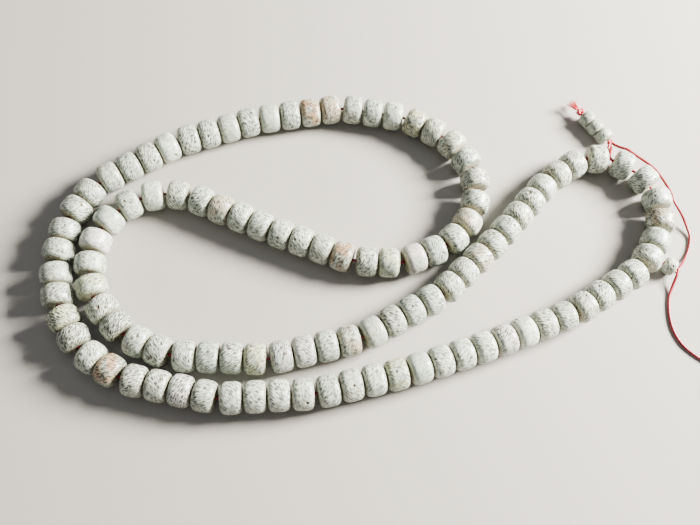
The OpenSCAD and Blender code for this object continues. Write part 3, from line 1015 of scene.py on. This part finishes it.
class MALA_OT_add_guru_cord(bpy.types.Operator):
    """Run the doubled cord through the guru beads, and knot and trim its ends"""

    bl_idname = "mala.add_guru_cord"
    bl_label = "Guru cord"

    STEP = 0.3 * MM
    # The strands start inside the first bead's hole, clear of the head knot when it lifts
    START = 1.5 * MM

    def execute(self, context):
        cord = context.scene.mala_cord
        along = (node_points("end_knot") - HEAD_KNOT) @ GURU_DIR
        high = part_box("end_knot")[1].z
        knot_r = high - HEAD_KNOT[2]
        centre = HEAD_KNOT + GURU_DIR * (along.min() + knot_r)
        across, up = basis(GURU_DIR)
        parts = []
        for side in (0, math.pi):
            places = np.linspace(self.START, along.min() + 0.8 * knot_r, 30)
            turn = side + 2 * math.pi * places / (9 * MM)
            strand = (
                HEAD_KNOT + np.outer(places, GURU_DIR)
                + cord.diameter * 0.47 * (
                    np.outer(np.cos(turn), across) + np.outer(np.sin(turn), up)))
            parts.append(filament_tube(
                smooth_path(strand, self.STEP), cord.diameter / 2, 27, cord.filaments, RIDGE,
                cord.lay))
        points, faces, values = joined(parts)
        doubled = new_mesh_piece(
            "guru_strands", points, faces, crimson_cord(), PENDANT, {"cord_mm": values})
        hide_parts("guru_cord")
        knot = put_knot(
            "pendant_knot", centre, GURU_DIR, knot_r, 0.62 * cord.diameter, PENDANT, scarlet_ends())
        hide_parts("end_knot")
        tuft = self.add_tuft(cord, centre, knot_r, along.max() - along.min() - knot_r)
        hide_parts("end_knot")
        return {"FINISHED"}

    def add_tuft(self, cord, centre, knot_r, reach):
        """The cord's cut ends beyond the knot, frayed into their fibres."""
        rng = random.Random(11)
        across, up = basis(GURU_DIR)
        parts = []
        stubs = []
        for a, lean in ((0.4, 0.22), (0.4 + math.pi, 0.30)):
            out = math.cos(a) * across + math.sin(a) * up
            root = centre + GURU_DIR * 0.8 * knot_r + out * 0.42 * cord.diameter
            way = GURU_DIR + out * lean
            way = way / np.linalg.norm(way)
            stub = root + np.outer(np.linspace(0, 0.55 * reach, 8), way)
            parts.append(filament_tube(
                stub, 0.46 * cord.diameter, 27, cord.filaments, 0.16, 8 * MM))
            stubs.append((stub, way))
        fibre_r, fibre_tip = 0.035 * MM, 0.35
        for k in range(cord.fibres):
            stub, way = stubs[k % 2]
            side_a, side_b = basis(way)
            a, far = rng.uniform(0, 2 * math.pi), math.sqrt(rng.random())
            out = math.cos(a) * side_a + math.sin(a) * side_b
            root = stub[rng.randrange(4, 8)] - way * 0.2 * MM + out * far * 0.44 * cord.diameter
            grow = rng.uniform(0.35, 0.62) * reach
            flare = rng.uniform(0.1, 0.55) * (0.4 + far)
            bend = rng.uniform(-0.25, 0.25)
            tip = root + grow * (way + out * flare + side_a * bend)
            middle = (root + tip) / 2 + (way * 0.5 - out * flare * 0.5) * grow * 0.25
            path = smooth_path([root, middle, tip], 0.25 * MM)
            taper = np.linspace(1, fibre_tip, len(path))
            parts.append(filament_tube(path, fibre_r, 5, 1, 0.0, 8 * MM, taper))
        points, faces, values = joined(parts)
        return new_mesh_piece(
            "cord_tuft", points, faces, scarlet_ends(), PENDANT, {"cord_mm": values})


class MALA_OT_add_beads(bpy.types.Operator):
    """Place the head bead and the counting beads on the strand"""

    bl_idname = "mala.add_beads"
    bl_label = "Beads"

    def execute(self, context):
        rng = random.Random(108)
        for number, (body, at, axis) in enumerate(strand_beads()):
            name = "head_seed" if number == 0 else f"seed_{number:03d}"
            tint, flecks, stain = seed_tint(number, rng)
            piece = seed_bead(
                name, body, at, axis, (BEAD_L, BEAD_D, BEAD_BORE), rng, tint, flecks, stain,
                rng.uniform(-0.6, 0.6))
            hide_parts(body)
        return {"FINISHED"}


class MALA_OT_add_small_beads(bpy.types.Operator):
    """Place the guru beads and the counter bead"""

    bl_idname = "mala.add_small_beads"
    bl_label = "Small beads"

    def execute(self, context):
        seed = context.scene.mala_seed
        rng = random.Random(4)
        for k, body in enumerate([*GURU_BEADS, "counter_bead"]):
            at, axis = joint_line(body)
            tint = 0.25 * np.array(seed.pale) + 0.75 * np.array(seed.grey)
            tint = tint * (0.86, 0.78, 0.68, 0.76)[k % 4]
            piece = seed_bead(
                body.replace("bead", "seed"), body, at, axis, (SMALL_L, SMALL_D, SMALL_BORE), rng,
                np.clip(tint, 0, 1), 0.8, 0.12, 0.0)
            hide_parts(body)
        return {"FINISHED"}


OPERATORS = (
    MALA_OT_set_stage,
    MALA_OT_add_tail,
    MALA_OT_add_strand_cord,
    MALA_OT_add_guru_cord,
    MALA_OT_add_beads,
    MALA_OT_add_small_beads,
)


class MALA_PT_panel(bpy.types.Panel):
    """The strand's pieces and settings"""

    bl_idname = "MALA_PT_panel"
    bl_label = "Mala"
    bl_space_type = "VIEW_3D"
    bl_region_type = "UI"
    bl_category = "Mala"

    def draw(self, context):
        for group, kind in SETTINGS.items():
            box = self.layout.box()
            for name in kind.__annotations__:
                box.prop(getattr(context.scene, group), name)
        for operator in OPERATORS:
            self.layout.operator(operator.bl_idname)


CLASSES = (*SETTINGS.values(), *OPERATORS, MALA_PT_panel)


def register():
    for cls in CLASSES:
        bpy.utils.register_class(cls)
    for group, kind in SETTINGS.items():
        setattr(bpy.types.Scene, group, bpy.props.PointerProperty(type=kind))


def unregister():
    for group in SETTINGS:
        delattr(bpy.types.Scene, group)
    for cls in reversed(CLASSES):
        bpy.utils.unregister_class(cls)


def main():
    register()
    for operator in OPERATORS:
        group, action = operator.bl_idname.split(".")
        getattr(getattr(bpy.ops, group), action)()


if __name__ == "__main__":
    main()
